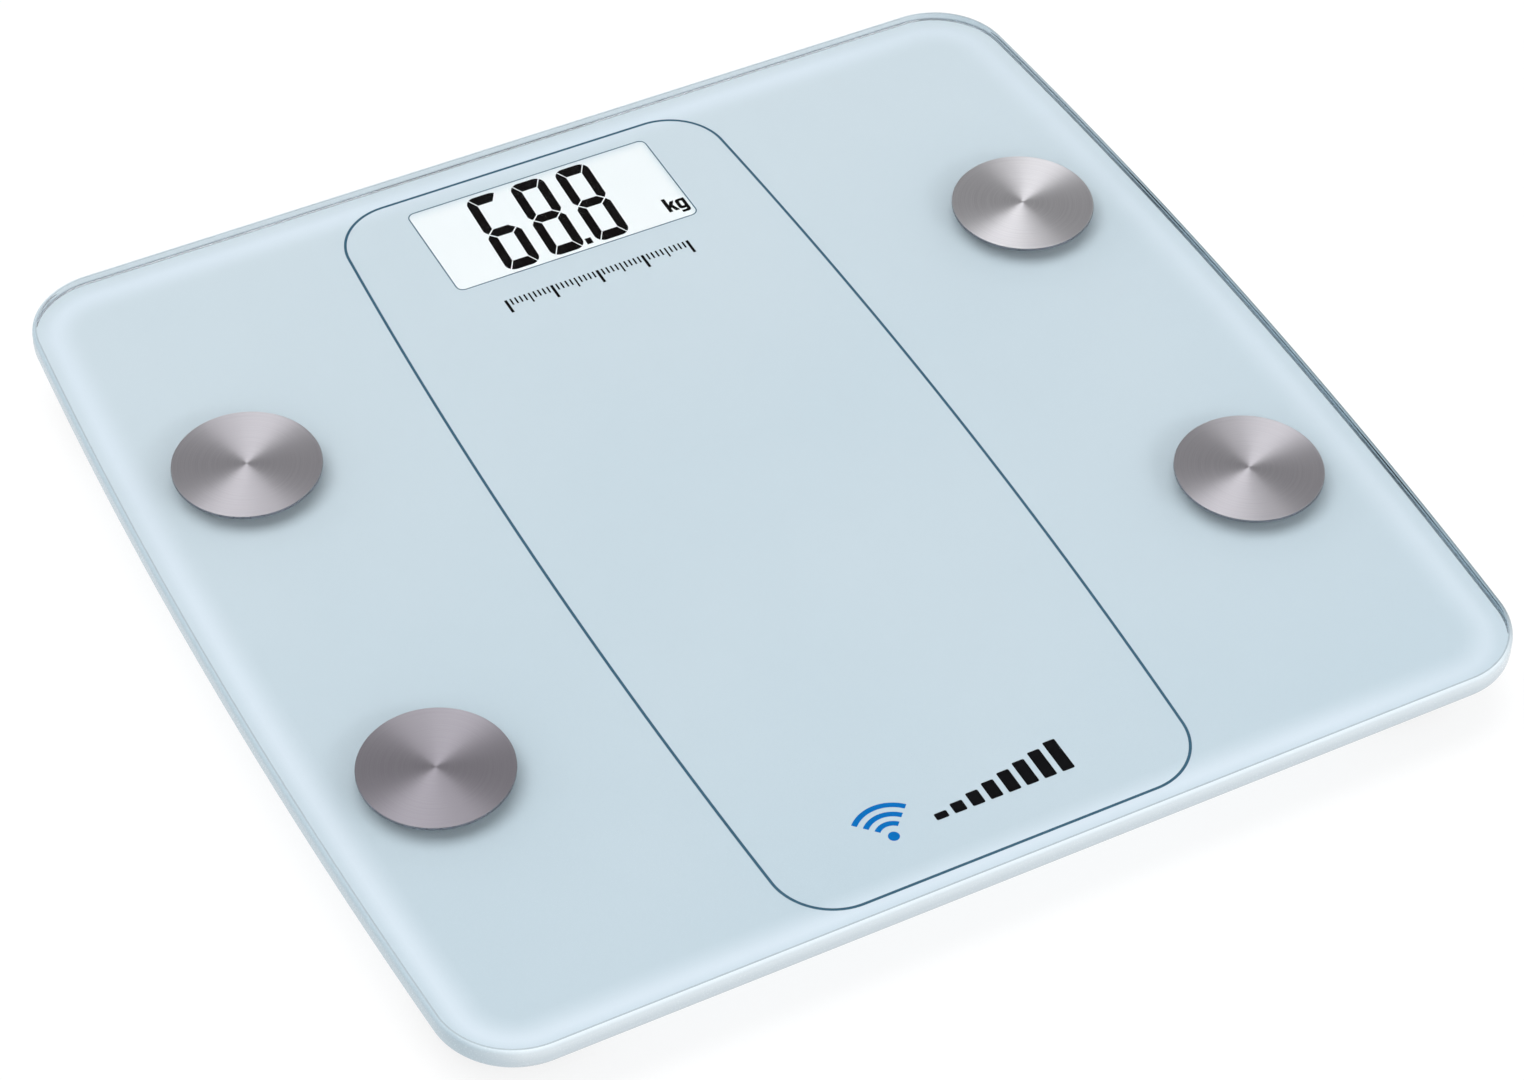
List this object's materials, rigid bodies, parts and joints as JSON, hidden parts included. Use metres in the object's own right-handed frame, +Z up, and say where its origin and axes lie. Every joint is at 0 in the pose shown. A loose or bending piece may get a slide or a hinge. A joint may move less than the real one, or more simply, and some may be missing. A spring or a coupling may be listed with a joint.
{
  "type": "glass body scale",
  "caption": "Low square glass bathroom scale with bowed sides, round steel electrodes, a backlit display window and load cells in round feet.",
  "frame": {"origin": "on the floor under the middle of the platform", "axes": "+X to the right and +Y to the display, as the user stands on it; +Z up"},
  "size_m": [0.31, 0.301, 0.0253],
  "materials": {
    "platform_glass": "polished tempered glass, printed pale blue-grey underneath",
    "electrode_steel": "circular brushed stainless steel",
    "zinc_steel": "zinc plated",
    "load_cell_steel": "stamped spring steel",
    "white_plastic": "fine moulded texture",
    "grey_plastic": "satin",
    "black_plastic": "satin",
    "black_rubber": "matt",
    "circuit_board": "solder mask",
    "tinned_shield": "tinned",
    "display_glass": "liquid crystal panel, backlit white",
    "light_guide": "clear acrylic",
    "zebra_rubber": "striped elastomer",
    "battery_wrap": "printed wrap",
    "nickel": "nickel plated",
    "cable_jacket": "soft vinyl",
    "red_wire": "soft vinyl",
    "black_wire": "soft vinyl"
  },
  "bodies": {
    "platform": {"glass_platform": "platform_glass", "electrode_front_left": "electrode_steel", "electrode_nut_front_left": "zinc_steel", "electrode_wire_front_left": "red_wire", "foot_housing_front_left": "white_plastic", "load_cell_front_left": "load_cell_steel", "cell_cable_front_left": "cable_jacket", "electrode_front_right": "electrode_steel", "electrode_nut_front_right": "zinc_steel", "electrode_wire_front_right": "red_wire", "foot_housing_front_right": "white_plastic", "load_cell_front_right": "load_cell_steel", "cell_cable_front_right": "cable_jacket", "electrode_back_left": "electrode_steel", "electrode_nut_back_left": "zinc_steel", "electrode_wire_back_left": "red_wire", "foot_housing_back_left": "white_plastic", "load_cell_back_left": "load_cell_steel", "cell_cable_back_left": "cable_jacket", "electrode_back_right": "electrode_steel", "electrode_nut_back_right": "zinc_steel", "electrode_wire_back_right": "red_wire", "foot_housing_back_right": "white_plastic", "load_cell_back_right": "load_cell_steel", "cell_cable_back_right": "cable_jacket", "mounting_frame": "white_plastic", "bottom_cover": "white_plastic", "cover_screw_1": "zinc_steel", "cover_screw_2": "zinc_steel", "cover_screw_3": "zinc_steel", "cover_screw_4": "zinc_steel", "display_bezel": "white_plastic", "display_panel": "display_glass", "display_backlight": "light_guide", "display_connector": "zebra_rubber", "circuit_board": "circuit_board", "controller_chip": "black_plastic", "radio_module": "tinned_shield", "unit_switch": "black_plastic", "battery_1": "battery_wrap", "battery_2": "battery_wrap", "battery_3": "battery_wrap", "battery_contact_positive": "nickel", "battery_contact_negative": "nickel", "battery_bridge_left": "nickel", "battery_bridge_right": "nickel", "battery_lead_positive": "red_wire", "battery_lead_negative": "black_wire"},
    "foot_front_left": {"foot_cup_front_left": "grey_plastic", "rubber_pad_front_left": "black_rubber"},
    "foot_front_right": {"foot_cup_front_right": "grey_plastic", "rubber_pad_front_right": "black_rubber"},
    "foot_back_left": {"foot_cup_back_left": "grey_plastic", "rubber_pad_back_left": "black_rubber"},
    "foot_back_right": {"foot_cup_back_right": "grey_plastic", "rubber_pad_back_right": "black_rubber"},
    "battery_door": {"battery_door": "white_plastic"},
    "unit_button": {"unit_button": "grey_plastic"}
  },
  "joints": [
    {"name": "foot_front_left_travel", "type": "slide", "parent": "platform", "child": "foot_front_left", "axis": [0, 0, 1], "range_m": [0, 0.0006], "stiffness_N_per_m": 4000, "springref_m": -0.0015},
    {"name": "foot_front_right_travel", "type": "slide", "parent": "platform", "child": "foot_front_right", "axis": [0, 0, 1], "range_m": [0, 0.0006], "stiffness_N_per_m": 4000, "springref_m": -0.0015},
    {"name": "foot_back_left_travel", "type": "slide", "parent": "platform", "child": "foot_back_left", "axis": [0, 0, 1], "range_m": [0, 0.0006], "stiffness_N_per_m": 4000, "springref_m": -0.0015},
    {"name": "foot_back_right_travel", "type": "slide", "parent": "platform", "child": "foot_back_right", "axis": [0, 0, 1], "range_m": [0, 0.0006], "stiffness_N_per_m": 4000, "springref_m": -0.0015},
    {"name": "battery_door_hinge", "type": "hinge", "parent": "platform", "child": "battery_door", "pos_m": [0, 0.0449, 0.0057], "axis": [-1, 0, 0], "range_deg": [0, 90]},
    {"name": "unit_button_press", "type": "slide", "parent": "platform", "child": "unit_button", "axis": [0, 0, 1], "range_m": [0, 0.0005], "stiffness_N_per_m": 1000, "springref_m": -0.001}
  ]
}
